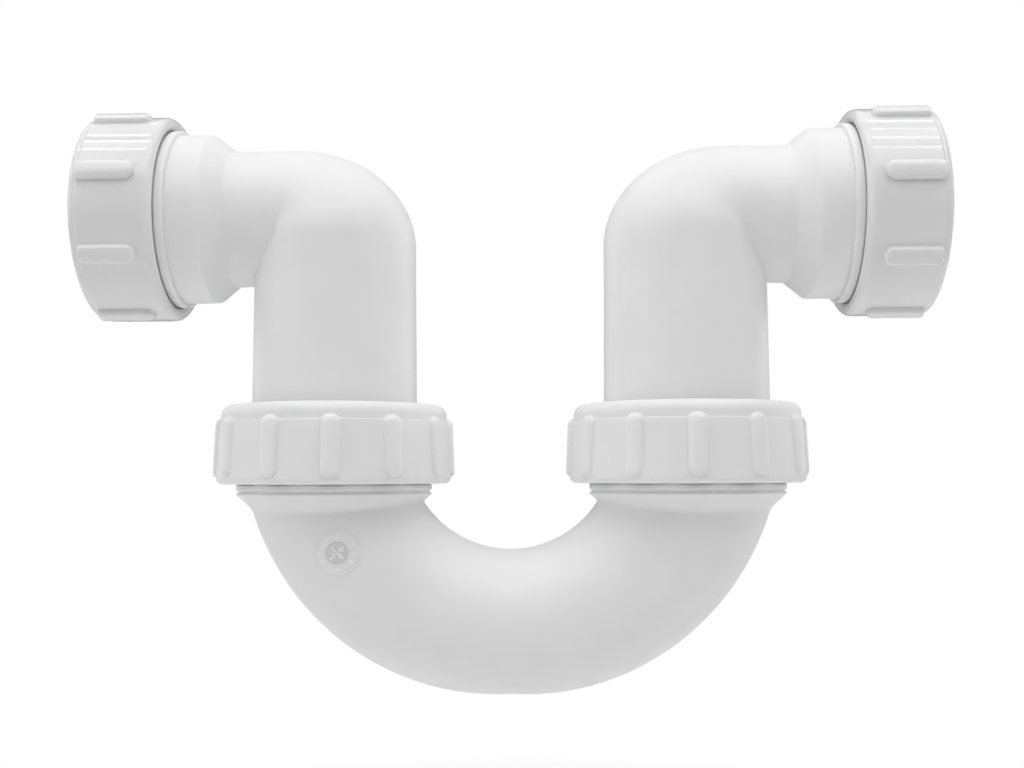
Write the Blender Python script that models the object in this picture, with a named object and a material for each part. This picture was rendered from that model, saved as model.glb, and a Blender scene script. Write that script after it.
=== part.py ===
"""Running U trap in white polypropylene for a 32 mm waste pipe.

Two like elbows stand in the threaded collars of a U bend, and each elbow ends in a threaded
pipe socket. Every one of the four joints is made in the same way: a tube stands in a socket,
a rubber taper seal sits in the socket's mouth, and a ribbed nut presses it down through a
slip washer.

The X axis is the common axis of the inlet and outlet pipes, +X towards the outlet. The origin
is midway between the two legs, and +Z is up. All lengths are in metres.
"""
from math import asin, copysign, cos, pi, radians, sin, sqrt
from typing import NamedTuple

import bmesh
import bpy
from mathutils import Matrix, Vector

# Clearance that touching solids keep, and the wall of the mouldings.
GAP = 0.0003
WALL = 0.0024

# Overall layout.
LEG_SPACING = 0.0930
BEND_DROP = 0.0610
PIPE_RADIUS = 0.0181

# Outer radius of the elbow's leg and arm. Mould draft makes both wider away from the knuckle.
LEG_FOOT_RADIUS = 0.0219
LEG_DRAFT = 0.0005
LEG_TOP_RADIUS = LEG_FOOT_RADIUS - LEG_DRAFT
ARM_RADIUS = 0.0180
ARM_DRAFT = 0.00015
ARM_END_RADIUS = ARM_RADIUS + ARM_DRAFT

# Knuckle: the heel sweeps round an axis this far from the leg's axis and below the arm's.
HEEL_PIVOT_OUT = 0.0095
HEEL_PIVOT_DOWN = 0.0084
# The crease of the throat ends this share of the arm's radius away from the middle plane.
CREASE_SHARE = 0.944
# The plain leg and arm begin this far beyond the ends of the crease.
CREASE_CLEARANCE = 0.0004

# Distances along the arm from the leg's axis.
CONE_START = 0.0267
CONE_LENGTH = 0.0053
PIPE_SOCKET_LENGTH = 0.0228
STOP_COLLAR_FROM_MOUTH = 0.0146
STOP_COLLAR_WIDTH = 0.0022
STOP_COLLAR_HEIGHT = 0.0012
PIPE_STOP_DEPTH = 0.0198
SOCKET_RELIEF = 0.0006

# U bend: the throat is a true half circle, and the tube tapers from the mouths to the bottom.
THROAT_INSET = 0.00265
MOUTH_INSET = 0.0001
THROAT_RADIUS = LEG_SPACING / 2 - LEG_FOOT_RADIUS + THROAT_INSET
BEND_MOUTH_RADIUS = LEG_FOOT_RADIUS - MOUTH_INSET
BEND_BOTTOM_RADIUS = 0.01865
BEND_START_ANGLE = radians(8)
BEND_BORE_START_ANGLE = radians(10)
BEND_MOUTH_RISE = 0.0020
LEG_SOCKET_DEPTH = 0.0159

# Threaded collar of the U bend, measured down from its mouth.
RELIEF_DEPTH = 0.0139
RELIEF_WIDTH = 0.0006
RELIEF_CUT = 0.0005
LAST_CREST_DEPTH = 0.0132
LAST_CREST_HEIGHT = 0.00075
LAST_CREST_LENGTH = 0.0006
FLARE_CREST_DEPTH = 0.0151
FLARE_RISE = 0.00115
FLARE_DROP = 0.0060

# How finely the round forms are divided.
SEGMENTS = 32
ELBOW_HEEL_STEPS = 20
ELBOW_THROAT_STEPS = 12
KNUCKLE_STEPS = 8
KNUCKLE_BORE_STEPS = 6
BEND_STEPS = 18
BEND_BORE_STEPS = 14
RIB_STEPS = 4


class Joint(NamedTuple):
    """Sizes of one compression joint, along its axis from the mouth of the male thread."""

    tube_radius: float
    thread_over_tube: float
    seat_wall: float
    seat_depth: float
    seal_depth: float
    seal_rise: float
    seal_rim_foot: float
    seal_rim_clearance: float
    washer_thickness: float
    end_wall: float
    skirt_length: float
    skirt_flare: float
    skirt_depth: float
    foot_wall: float
    top_wall: float
    foot_round: float
    shoulder_height: float
    shoulder_inset: float
    shoulder_round: float
    rib_count: int
    rib_width: float
    rib_height: float
    rib_power: float
    rib_foot: float
    rib_foot_round: float
    rib_top: float
    rib_top_round: float

    @property
    def bore_radius(self):
        """Inner radius of the socket, the seal and the nut's end hole."""
        return self.tube_radius + GAP

    @property
    def thread_radius(self):
        """Middle of the clearance between the male thread and the nut's thread."""
        return self.tube_radius + self.thread_over_tube

    @property
    def seat_radius(self):
        """Wide end of the seal's seat, with the seat wall left round it."""
        return self.thread_radius - self.seat_wall

    @property
    def seal_rim(self):
        """Outer radius of the seal's rim, clear of the nut's thread."""
        return self.thread_radius - self.seal_rim_clearance

    @property
    def skirt_radius(self):
        """Mouth of the nut's skirt, wider than its thread."""
        return self.thread_radius + self.skirt_flare

    @property
    def body_foot_radius(self):
        """Outer radius of the nut's body at its foot, a wall outside the skirt's mouth."""
        return self.skirt_radius + self.foot_wall

    @property
    def body_top_radius(self):
        """Outer radius of the nut's body at its top, a wall outside the thread."""
        return self.thread_radius + self.top_wall

    @property
    def male_radius(self):
        """Plain cylinder that stands for the male thread."""
        return self.thread_radius - GAP / 2

    @property
    def female_radius(self):
        """Plain bore that stands for the nut's thread."""
        return self.thread_radius + GAP / 2

    @property
    def washer_foot(self):
        return self.seal_rise + GAP

    @property
    def end_wall_foot(self):
        return self.washer_foot + self.washer_thickness + GAP

    @property
    def nut_top(self):
        return self.end_wall_foot + self.end_wall


BEND_JOINT = Joint(
    tube_radius=LEG_FOOT_RADIUS,
    thread_over_tube=0.0031,
    seat_wall=0.0011,
    seat_depth=0.0060,
    seal_depth=0.0030,
    seal_rise=0.0030,
    seal_rim_foot=0.0012,
    seal_rim_clearance=0.0006,
    washer_thickness=0.0016,
    end_wall=0.0033,
    skirt_length=0.0120,
    skirt_flare=0.0012,
    skirt_depth=0.0012,
    foot_wall=0.0045,
    top_wall=0.0048,
    foot_round=0.0016,
    shoulder_height=0.0045,
    shoulder_inset=0.0004,
    shoulder_round=0.0024,
    rib_count=12,
    rib_width=0.0047,
    rib_height=0.0012,
    rib_power=2.2,
    rib_foot=-0.0102,
    rib_foot_round=0.0022,
    rib_top=0.0050,
    rib_top_round=0.0022,
)

SOCKET_JOINT = Joint(
    tube_radius=PIPE_RADIUS,
    thread_over_tube=0.00505,
    seat_wall=0.00155,
    seat_depth=0.0060,
    seal_depth=0.0040,
    seal_rise=0.0032,
    seal_rim_foot=0.0012,
    seal_rim_clearance=0.00095,
    washer_thickness=0.0016,
    end_wall=0.0030,
    skirt_length=0.0126,
    skirt_flare=0.00105,
    skirt_depth=0.0026,
    foot_wall=0.0029,
    top_wall=0.00395,
    foot_round=0.0025,
    shoulder_height=0.0022,
    shoulder_inset=0.00025,
    shoulder_round=0.0018,
    rib_count=8,
    rib_width=0.0047,
    rib_height=0.0017,
    rib_power=3.2,
    rib_foot=-0.0085,
    rib_foot_round=0.0016,
    rib_top=0.0062,
    rib_top_round=0.0005,
)

SOCKET_MOUTH = CONE_START + CONE_LENGTH + PIPE_SOCKET_LENGTH
THREAD_LEAD = 0.0008

# Rib phases of the four nuts as they stand, anticlockwise about each nut's outward axis.
INLET_BEND_RIBS = radians(7.6)
OUTLET_BEND_RIBS = radians(-0.9)
INLET_SOCKET_RIBS = radians(16)
OUTLET_SOCKET_RIBS = radians(-11)


def clear_scene():
    """Remove the objects and meshes that a new file starts with."""
    for item in list(bpy.data.objects):
        bpy.data.objects.remove(item, do_unlink=True)
    for mesh in list(bpy.data.meshes):
        bpy.data.meshes.remove(mesh)


def plastic(name, colour, roughness):
    """Return a plain material for one kind of piece."""
    material = bpy.data.materials.new(name)
    material.use_nodes = True
    shader = material.node_tree.nodes["Principled BSDF"]
    shader.inputs["Base Color"].default_value = (*colour, 1.0)
    shader.inputs["Roughness"].default_value = roughness
    shader.inputs["Metallic"].default_value = 0.0
    material.diffuse_color = (*colour, 1.0)
    return material


def finish(bm, name):
    """Turn a bmesh into a mesh with its faces pointing outwards and its edges kept sharp."""
    bmesh.ops.recalc_face_normals(bm, faces=bm.faces)
    mesh = bpy.data.meshes.new(name)
    bm.to_mesh(mesh)
    bm.free()
    mesh.shade_smooth()
    mesh.set_sharp_from_angle(angle=radians(30))
    return mesh


def arc(centre, radius, start, end, steps):
    """Return profile points (r, z) on an arc, with its angles in degrees from the r axis."""
    points = []
    for i in range(steps + 1):
        angle = radians(start + (end - start) * i / steps)
        points.append((centre[0] + radius * cos(angle), centre[1] + radius * sin(angle)))
    return points


def revolve(profile, name, segments=SEGMENTS):
    """Spin a closed profile of (r, z) points about the Z axis."""
    bm = bmesh.new()
    verts = [bm.verts.new((r, 0.0, z)) for r, z in profile]
    edges = [bm.edges.new((a, b)) for a, b in zip(verts, verts[1:] + verts[:1])]
    bmesh.ops.spin(
        bm,
        geom=verts + edges,
        cent=(0.0, 0.0, 0.0),
        axis=(0.0, 0.0, 1.0),
        angle=2 * pi,
        steps=segments,
        use_merge=True,
    )
    return finish(bm, name)


def skin(bm, ring_a, ring_b):
    """Join two rings of equal length with faces, leaving out stretches that they share."""
    count = len(ring_a)
    for i in range(count):
        j = (i + 1) % count
        corners = [ring_a[i], ring_a[j], ring_b[j], ring_b[i]]
        unique = [v for k, v in enumerate(corners) if v not in corners[:k]]
        if len(unique) > 2:
            bm.faces.new(unique)


def combine(body, tool, operation):
    """Return the mesh of body after a Boolean with tool, both in the same coordinates."""
    body_object = bpy.data.objects.new("body", body)
    tool_object = bpy.data.objects.new("tool", tool)
    for item in (body_object, tool_object):
        bpy.context.collection.objects.link(item)
    modifier = body_object.modifiers.new("Boolean", "BOOLEAN")
    modifier.operation = operation
    modifier.solver = "EXACT"
    modifier.object = tool_object
    bpy.context.view_layer.update()
    evaluated = body_object.evaluated_get(bpy.context.evaluated_depsgraph_get())
    mesh = bpy.data.meshes.new_from_object(evaluated)
    mesh.name = body.name
    for item in (body_object, tool_object):
        bpy.data.objects.remove(item, do_unlink=True)
    mesh.shade_smooth()
    mesh.set_sharp_from_angle(angle=radians(30))
    return mesh


def moved(mesh, matrix):
    """Move a mesh's points by a matrix and return the mesh."""
    mesh.transform(matrix)
    return mesh


def joined(meshes, name):
    """Put several separate bodies into one mesh."""
    bm = bmesh.new()
    for mesh in meshes:
        bm.from_mesh(mesh)
    mesh = bpy.data.meshes.new(name)
    bm.to_mesh(mesh)
    bm.free()
    return mesh


def seat_offset(joint):
    """Distance in radius between the seal's cone and its seat."""
    slope = (joint.seat_radius - joint.bore_radius) / joint.seat_depth
    return GAP * sqrt(1 + slope * slope)


def seal_mesh(joint, name):
    """Rubber taper seal: a wedge in the mouth with a thicker rim above it."""
    slope = (joint.seat_radius - joint.bore_radius) / joint.seat_depth
    rim_foot = joint.seat_radius - seat_offset(joint)
    toe = rim_foot - slope * joint.seal_depth
    profile = [
        (joint.bore_radius, -joint.seal_depth),
        (toe, -joint.seal_depth),
        (rim_foot, 0.0),
        (joint.seal_rim, joint.seal_rim_foot),
        (joint.seal_rim, joint.seal_rise),
        (joint.bore_radius, joint.seal_rise),
    ]
    return revolve(profile, name)


def washer_mesh(joint, name):
    """Slip washer between the seal and the nut's end wall."""
    inner = joint.bore_radius + GAP
    outer = joint.female_radius - GAP
    foot = joint.washer_foot
    top = foot + joint.washer_thickness
    return revolve([(inner, foot), (outer, foot), (outer, top), (inner, top)], name)


def nut_body(joint, name):
    """Turned body of a nut: skirt, threaded bore, end wall, and a ledge below its shoulder."""
    foot = -joint.skirt_length
    top = joint.nut_top
    ledge = top - joint.shoulder_height
    shoulder_radius = joint.body_top_radius - joint.shoulder_inset
    lower = arc(
        (joint.body_foot_radius - joint.foot_round, foot + joint.foot_round),
        joint.foot_round, -90, 0, 3,
    )
    upper = arc(
        (shoulder_radius - joint.shoulder_round, top - joint.shoulder_round),
        joint.shoulder_round, 0, 90, 4,
    )
    profile = [
        (joint.female_radius, foot + joint.skirt_depth),
        (joint.skirt_radius, foot),
        *lower,
        (joint.body_top_radius, ledge),
        (shoulder_radius, ledge),
        *upper,
        (joint.bore_radius + GAP, top),
        (joint.bore_radius + GAP, joint.end_wall_foot),
        (joint.female_radius, joint.end_wall_foot),
    ]
    return revolve(profile, name)


def rib_section(joint, half, height, side):
    """Points (radius, offset) across a rib: a superellipse on the nut's side, sunk at its base."""
    sunk = joint.rib_height
    points = [(side - sunk, half)]
    for i in range(RIB_STEPS + 1):
        angle = pi * i / RIB_STEPS
        across = copysign(abs(cos(angle)) ** (2 / joint.rib_power), cos(angle))
        up = sin(angle) ** (2 / joint.rib_power)
        points.append((side + height * up, half * across))
    points.append((side - sunk, -half))
    return points


def rib_mesh(joint, name):
    """One grip rib along the nut's side, rounded off at both ends."""
    half = joint.rib_width / 2
    length = joint.nut_top + joint.skirt_length
    ends = (
        (joint.rib_foot, 1, joint.rib_foot_round, (25, 90)),
        (joint.rib_top, -1, joint.rib_top_round, (90, 25)),
    )
    bm = bmesh.new()
    rings = []
    for end, inward, rounding, degrees in ends:
        lift = min(rounding, joint.rib_height)
        for angle in (radians(d) for d in degrees):
            z = end + inward * rounding * (1 - cos(angle))
            share = (z + joint.skirt_length) / length
            side = joint.body_foot_radius + (joint.body_top_radius - joint.body_foot_radius) * share
            width = half - rounding + rounding * sin(angle)
            height = joint.rib_height - lift + lift * sin(angle)
            section = rib_section(joint, width, height, side)
            rings.append([bm.verts.new((r, offset, z)) for r, offset in section])
    for lower, upper in zip(rings, rings[1:]):
        skin(bm, lower, upper)
    bm.faces.new(rings[0])
    bm.faces.new(rings[-1])
    return finish(bm, name)


def nut_mesh(joint, name):
    """Ribbed compression nut with its axis on Z and the mouth of the male thread at z = 0."""
    ribs = []
    for i in range(joint.rib_count):
        turn = Matrix.Rotation(2 * pi * i / joint.rib_count, 4, "Z")
        ribs.append(moved(rib_mesh(joint, "rib"), turn))
    return combine(nut_body(joint, name), joined(ribs, "ribs"), "UNION")


def leg_foot():
    """Height of the leg's lower end, just clear of the ledge in the U bend's collar."""
    return -BEND_DROP + BEND_MOUTH_RISE - LEG_SOCKET_DEPTH + GAP


def leg_radius(z):
    """Outer radius of the leg at a height below the pipe axis."""
    foot = leg_foot()
    share = min(1.0, (z - foot) / (-ARM_RADIUS - foot))
    return LEG_FOOT_RADIUS + (LEG_TOP_RADIUS - LEG_FOOT_RADIUS) * share


class ElbowSkin:
    """Rings of the elbow's outer or inner surface, with one line of points per position.

    A line runs up the leg, round the knuckle and out along the arm. The heel's lines sweep
    round in quarter ellipses. The throat's lines meet in a crease, where the leg's and the
    arm's cylinders cross.
    """

    def __init__(self, bm, inset):
        self.bm = bm
        self.inset = inset
        self.leg = LEG_TOP_RADIUS - inset
        self.arm = ARM_RADIUS - inset
        self.crease_end = CREASE_SHARE * self.arm
        leg_end = pi - asin(self.crease_end / self.leg)
        arm_end = pi - asin(self.crease_end / self.arm)
        half = ELBOW_HEEL_STEPS // 2
        self.heel = [i / half for i in range(-half, half + 1)]
        self.leg_angles = [leg_end * share for share in self.heel]
        self.arm_angles = [arm_end * share for share in self.heel]
        for i in range(1, ELBOW_THROAT_STEPS):
            angle = arm_end + (2 * pi - 2 * arm_end) * i / ELBOW_THROAT_STEPS
            self.arm_angles.append(angle)
            self.leg_angles.append(pi - asin(self.arm * sin(angle) / self.leg))

    def leg_ring(self, z, radius=None):
        radius = leg_radius(z) - self.inset if radius is None else radius
        return [self.bm.verts.new((-radius * cos(t), radius * sin(t), z)) for t in self.leg_angles]

    def arm_ring(self, x, radius):
        return [self.bm.verts.new((x, radius * sin(t), radius * cos(t))) for t in self.arm_angles]

    def heel_point(self, index, turn):
        """Point of one heel line, a share of a quarter turn round the knuckle."""
        leg_angle = self.leg_angles[index]
        arm_angle = self.arm_angles[index]
        share = self.heel[index] ** 2
        end_out = sqrt(self.leg ** 2 - self.crease_end ** 2)
        end_down = sqrt(self.arm ** 2 - self.crease_end ** 2)
        out = HEEL_PIVOT_OUT + (end_out - HEEL_PIVOT_OUT) * share
        down = HEEL_PIVOT_DOWN + (end_down - HEEL_PIVOT_DOWN) * share
        reach = (out + self.leg * cos(leg_angle)) * cos(turn)
        rise = (down + self.arm * cos(arm_angle)) * sin(turn)
        blend = sin(turn) ** 2
        side = self.leg * sin(leg_angle) * (1 - blend) + self.arm * sin(arm_angle) * blend
        return (out - reach, side, rise - down)

    def knuckle_rings(self, steps):
        """Rings round the knuckle, which all share the crease of the throat."""
        last = len(self.heel) - 1
        ends = [self.bm.verts.new(self.heel_point(i, 0.0)) for i in (0, last)]
        crease = []
        for angle in self.arm_angles[last + 1:]:
            side = self.arm * sin(angle)
            point = (sqrt(self.leg ** 2 - side ** 2), side, self.arm * cos(angle))
            crease.append(self.bm.verts.new(point))
        rings = []
        for i in range(steps + 1):
            turn = pi / 2 * i / steps
            middle = [self.bm.verts.new(self.heel_point(k, turn)) for k in range(1, last)]
            rings.append([ends[0], *middle, ends[1], *crease])
        return rings


def elbow_outside(bm):
    """Rings of the outer surface from the foot of the leg to the mouth of the pipe socket."""
    elbow = ElbowSkin(bm, 0.0)
    rings = [
        elbow.leg_ring(leg_foot()),
        elbow.leg_ring(-ARM_RADIUS - CREASE_CLEARANCE, LEG_TOP_RADIUS),
        *elbow.knuckle_rings(KNUCKLE_STEPS),
        elbow.arm_ring(LEG_TOP_RADIUS + CREASE_CLEARANCE, ARM_RADIUS),
        elbow.arm_ring(CONE_START, ARM_END_RADIUS),
    ]
    joint = SOCKET_JOINT
    socket = joint.male_radius - SOCKET_RELIEF
    collar = SOCKET_MOUTH - STOP_COLLAR_FROM_MOUTH
    stations = [
        (CONE_START + CONE_LENGTH, socket),
        (collar, socket),
        (collar, socket + STOP_COLLAR_HEIGHT),
        (collar + STOP_COLLAR_WIDTH, socket + STOP_COLLAR_HEIGHT),
        (collar + STOP_COLLAR_WIDTH, joint.male_radius),
        (SOCKET_MOUTH - THREAD_LEAD, joint.male_radius),
        (SOCKET_MOUTH, joint.male_radius - THREAD_LEAD),
    ]
    for x, radius in stations:
        rings.append(elbow.arm_ring(x, radius))
    return rings


def elbow_inside(bm):
    """Rings of the bore from the mouth of the pipe socket back to the foot of the leg."""
    elbow = ElbowSkin(bm, WALL)
    joint = SOCKET_JOINT
    stop = SOCKET_MOUTH - PIPE_STOP_DEPTH
    return [
        elbow.arm_ring(SOCKET_MOUTH, joint.seat_radius),
        elbow.arm_ring(SOCKET_MOUTH - joint.seat_depth, joint.bore_radius),
        elbow.arm_ring(stop, joint.bore_radius),
        elbow.arm_ring(stop - GAP, ARM_END_RADIUS - WALL),
        elbow.arm_ring(LEG_TOP_RADIUS - WALL + CREASE_CLEARANCE, ARM_RADIUS - WALL),
        *reversed(elbow.knuckle_rings(KNUCKLE_BORE_STEPS)),
        elbow.leg_ring(-ARM_RADIUS + WALL - CREASE_CLEARANCE, LEG_TOP_RADIUS - WALL),
        elbow.leg_ring(leg_foot()),
    ]


def elbow_mesh():
    """Elbow with its leg on the Z axis and its arm along +X."""
    bm = bmesh.new()
    rings = elbow_outside(bm) + elbow_inside(bm)
    for ring_a, ring_b in zip(rings, rings[1:] + rings[:1]):
        skin(bm, ring_a, ring_b)
    return finish(bm, "elbow")


def bend_tube(start_angle, inset, steps, name):
    """Tapering half turn of solid tube about the Y axis, hanging below the bend's centre."""
    bm = bmesh.new()
    rings = []
    for i in range(steps + 1):
        turn = start_angle + (pi - 2 * start_angle) * i / steps
        share = min(turn, pi - turn) / (pi / 2)
        outer = BEND_MOUTH_RADIUS + (BEND_BOTTOM_RADIUS - BEND_MOUTH_RADIUS) * share
        out = Vector((-cos(turn), 0.0, -sin(turn)))
        centre = out * (THROAT_RADIUS + outer)
        radius = outer - inset
        ring = []
        for k in range(SEGMENTS):
            angle = 2 * pi * k / SEGMENTS
            point = centre + out * radius * cos(angle) + Vector((0.0, radius * sin(angle), 0.0))
            ring.append(bm.verts.new(point))
        rings.append(ring)
    for ring_a, ring_b in zip(rings, rings[1:]):
        skin(bm, ring_a, ring_b)
    bm.faces.new(rings[0])
    bm.faces.new(rings[-1])
    return finish(bm, name)


def collar_mesh():
    """Outside form of one threaded collar, with its mouth at z = 0 and a narrow pilot hole."""
    joint = BEND_JOINT
    male = joint.male_radius
    crest = male + FLARE_RISE
    groove = male - RELIEF_CUT
    groove_top = -RELIEF_DEPTH + RELIEF_WIDTH / 2
    groove_foot = -RELIEF_DEPTH - RELIEF_WIDTH / 2
    cone_foot = -FLARE_CREST_DEPTH - FLARE_DROP
    pilot = joint.bore_radius / 4
    profile = [
        (male - THREAD_LEAD, 0.0),
        (pilot, 0.0),
        (pilot, cone_foot),
        (crest - FLARE_DROP, cone_foot),
        (crest, -FLARE_CREST_DEPTH),
        (crest, -FLARE_CREST_DEPTH + GAP),
        (groove, groove_foot),
        (groove, groove_top),
        (male + LAST_CREST_HEIGHT, -LAST_CREST_DEPTH),
        (male, -LAST_CREST_DEPTH + LAST_CREST_LENGTH),
        (male, -THREAD_LEAD),
    ]
    return revolve(profile, "collar")


def bend_mesh():
    """U bend with the bend's centre at the origin."""
    body = bend_tube(BEND_START_ANGLE, 0.0, BEND_STEPS, "u_bend")
    bore = bend_tube(BEND_BORE_START_ANGLE, WALL, BEND_BORE_STEPS, "bore")
    mouths = []
    sockets = []
    for side in (-1, 1):
        place = Matrix.Translation((side * LEG_SPACING / 2, 0.0, BEND_MOUTH_RISE))
        mouths.append(moved(collar_mesh(), place))
        sockets.append(moved(socket_cutter(), place))
    for mouth in mouths:
        body = combine(body, mouth, "UNION")
    for cutter in (bore, *sockets):
        body = combine(body, cutter, "DIFFERENCE")
    return body


def socket_cutter():
    """Hollow of one collar: the leg's socket and the seal's tapered seat, mouth at z = 0."""
    joint = BEND_JOINT
    over = GAP
    slope = (joint.seat_radius - joint.bore_radius) / joint.seat_depth
    profile = [
        (joint.seat_radius + slope * over, over),
        (joint.bore_radius, -joint.seat_depth),
        (joint.bore_radius, -LEG_SOCKET_DEPTH),
    ]
    bm = bmesh.new()
    rings = []
    for r, z in profile:
        angles = [2 * pi * k / SEGMENTS for k in range(SEGMENTS)]
        rings.append([bm.verts.new((r * cos(a), r * sin(a), z)) for a in angles])
    for ring_a, ring_b in zip(rings, rings[1:]):
        skin(bm, ring_a, ring_b)
    bm.faces.new(rings[0])
    bm.faces.new(rings[-1])
    return finish(bm, "socket")


def place(name, mesh, material, location, rotation):
    """Add one named piece with its origin on its own axis."""
    piece = bpy.data.objects.new(name, mesh)
    bpy.context.collection.objects.link(piece)
    piece.location = location
    piece.rotation_euler = rotation
    if not mesh.materials:
        mesh.materials.append(material)


def build():
    """Model every piece of the trap."""
    clear_scene()
    satin_white = (0.86, 0.87, 0.88)
    glossy_white = (0.89, 0.90, 0.91)
    elbow_plastic = plastic("elbow_polypropylene", satin_white, 0.42)
    bend_plastic = plastic("bend_polypropylene", satin_white, 0.45)
    bend_nut_plastic = plastic("bend_nut_polypropylene", satin_white, 0.50)
    socket_nut_plastic = plastic("socket_nut_polypropylene", glossy_white, 0.25)
    washer_plastic = plastic("washer_polyethylene", (0.80, 0.82, 0.84), 0.40)
    seal_rubber = plastic("seal_rubber", (0.05, 0.05, 0.05), 0.70)

    place("u_bend", bend_mesh(), bend_plastic, (0.0, 0.0, -BEND_DROP), (0.0, 0.0, 0.0))
    elbow = elbow_mesh()
    bend_nut = nut_mesh(BEND_JOINT, "bend_nut")
    bend_washer = washer_mesh(BEND_JOINT, "bend_washer")
    bend_seal = seal_mesh(BEND_JOINT, "bend_seal")
    socket_nut = nut_mesh(SOCKET_JOINT, "socket_nut")
    socket_washer = washer_mesh(SOCKET_JOINT, "socket_washer")
    socket_seal = seal_mesh(SOCKET_JOINT, "socket_seal")

    ends = (
        ("inlet", -1, INLET_BEND_RIBS, INLET_SOCKET_RIBS),
        ("outlet", 1, OUTLET_BEND_RIBS, OUTLET_SOCKET_RIBS),
    )
    for end, side, bend_phase, socket_phase in ends:
        leg = side * LEG_SPACING / 2
        mouth = (leg, 0.0, -BEND_DROP + BEND_MOUTH_RISE)
        socket = (leg + side * SOCKET_MOUTH, 0.0, 0.0)
        turned = (0.0, 0.0, pi if side < 0 else 0.0)
        upright = (0.0, 0.0, 0.0)
        outward = (0.0, side * pi / 2, 0.0)
        # A rib faces the front of the trap, -Y, at phase zero.
        bend_turn = (0.0, 0.0, bend_phase - pi / 2)
        phase = Matrix.Rotation(socket_phase - pi / 2, 3, "Z")
        socket_turn = (Matrix.Rotation(side * pi / 2, 3, "Y") @ phase).to_euler()
        place(f"{end}_elbow", elbow, elbow_plastic, (leg, 0.0, 0.0), turned)
        place(f"{end}_bend_nut", bend_nut, bend_nut_plastic, mouth, bend_turn)
        place(f"{end}_bend_washer", bend_washer, washer_plastic, mouth, upright)
        place(f"{end}_bend_seal", bend_seal, seal_rubber, mouth, upright)
        place(f"{end}_socket_nut", socket_nut, socket_nut_plastic, socket, socket_turn)
        place(f"{end}_socket_washer", socket_washer, washer_plastic, socket, outward)
        place(f"{end}_socket_seal", socket_seal, seal_rubber, socket, outward)


build()
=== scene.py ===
"""Looks of a running U trap for a 32 mm waste pipe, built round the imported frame.

Every solid of the frame gets a finely divided piece of the same form, with real threads,
soft moulded edges, ribs with fillets and a date dial. All lengths are in metres.
"""
from math import asin, cos, pi, radians, sin, sqrt

import bmesh
import bpy
import numpy as np
from mathutils import Euler, Matrix, Vector


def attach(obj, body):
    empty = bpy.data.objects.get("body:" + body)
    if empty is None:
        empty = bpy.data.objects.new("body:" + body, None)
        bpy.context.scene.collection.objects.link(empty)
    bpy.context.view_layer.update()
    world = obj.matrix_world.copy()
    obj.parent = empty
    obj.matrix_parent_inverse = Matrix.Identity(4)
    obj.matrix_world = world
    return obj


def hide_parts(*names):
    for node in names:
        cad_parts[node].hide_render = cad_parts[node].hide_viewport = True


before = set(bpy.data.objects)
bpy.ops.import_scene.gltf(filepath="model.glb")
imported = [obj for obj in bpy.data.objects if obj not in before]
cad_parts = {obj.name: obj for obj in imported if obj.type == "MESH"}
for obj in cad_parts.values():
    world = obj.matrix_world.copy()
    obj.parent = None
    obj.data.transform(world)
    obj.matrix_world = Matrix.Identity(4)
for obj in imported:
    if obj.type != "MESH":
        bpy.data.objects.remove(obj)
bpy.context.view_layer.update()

# Clearance between pieces, and wall of the mouldings.
GAP = 0.0003
WALL = 0.0024

# Overall layout, as in the frame.
LEG_SPACING = 0.0930
BEND_DROP = 0.0610
PIPE_RADIUS = 0.0181
LEG_FOOT_RADIUS = 0.0219
LEG_DRAFT = 0.0005
LEG_TOP_RADIUS = LEG_FOOT_RADIUS - LEG_DRAFT
ARM_RADIUS = 0.0180
ARM_DRAFT = 0.00015
ARM_END_RADIUS = ARM_RADIUS + ARM_DRAFT

# Knuckle: the heel sweeps round an axis this far from the leg's axis and below the arm's.
HEEL_PIVOT_OUT = 0.0095
HEEL_PIVOT_DOWN = 0.0084
# The crease of the throat ends this share of the arm's radius away from the middle plane.
CREASE_SHARE = 0.944
CREASE_CLEARANCE = 0.0004
HEEL_STEPS = 96
THROAT_STEPS = 48
KNUCKLE_STEPS = 44
KNUCKLE_BORE_STEPS = 20
LEG_ROWS = 12
LEG_RIM = 0.0004

# Distances along the arm from the leg's axis.
CONE_START = 0.0267
CONE_LENGTH = 0.0053
PIPE_SOCKET_LENGTH = 0.0228
SOCKET_MOUTH = CONE_START + CONE_LENGTH + PIPE_SOCKET_LENGTH
SOCKET_RELIEF = 0.0006
STOP_COLLAR_FROM_MOUTH = 0.0146
STOP_COLLAR_WIDTH = 0.0022
STOP_COLLAR_HEIGHT = 0.0012
STOP_COLLAR_ROUND = 0.0003
PIPE_STOP_DEPTH = 0.0198
SOCKET_ROUND = 0.00025
# The arm's surface stops this far short of the stop collar, so that the two stay separate.
ARM_END_GAP = 0.00001
CONE_ROUND = 0.0006
CONE_ROUND_STEPS = 6

# U bend: the tube tapers evenly from its mouths to its bottom.
THROAT_INSET = 0.00265
MOUTH_INSET = 0.0001
THROAT_RADIUS = LEG_SPACING / 2 - LEG_FOOT_RADIUS + THROAT_INSET
BEND_MOUTH_RADIUS = LEG_FOOT_RADIUS - MOUTH_INSET
BEND_BOTTOM_RADIUS = 0.01865
BEND_MOUTH_RISE = 0.0020
LEG_SOCKET_DEPTH = 0.0159
TUBE_COLUMNS = 160
TUBE_ROWS = 170
BORE_COLUMNS = 72
BORE_ROWS = 60

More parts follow.
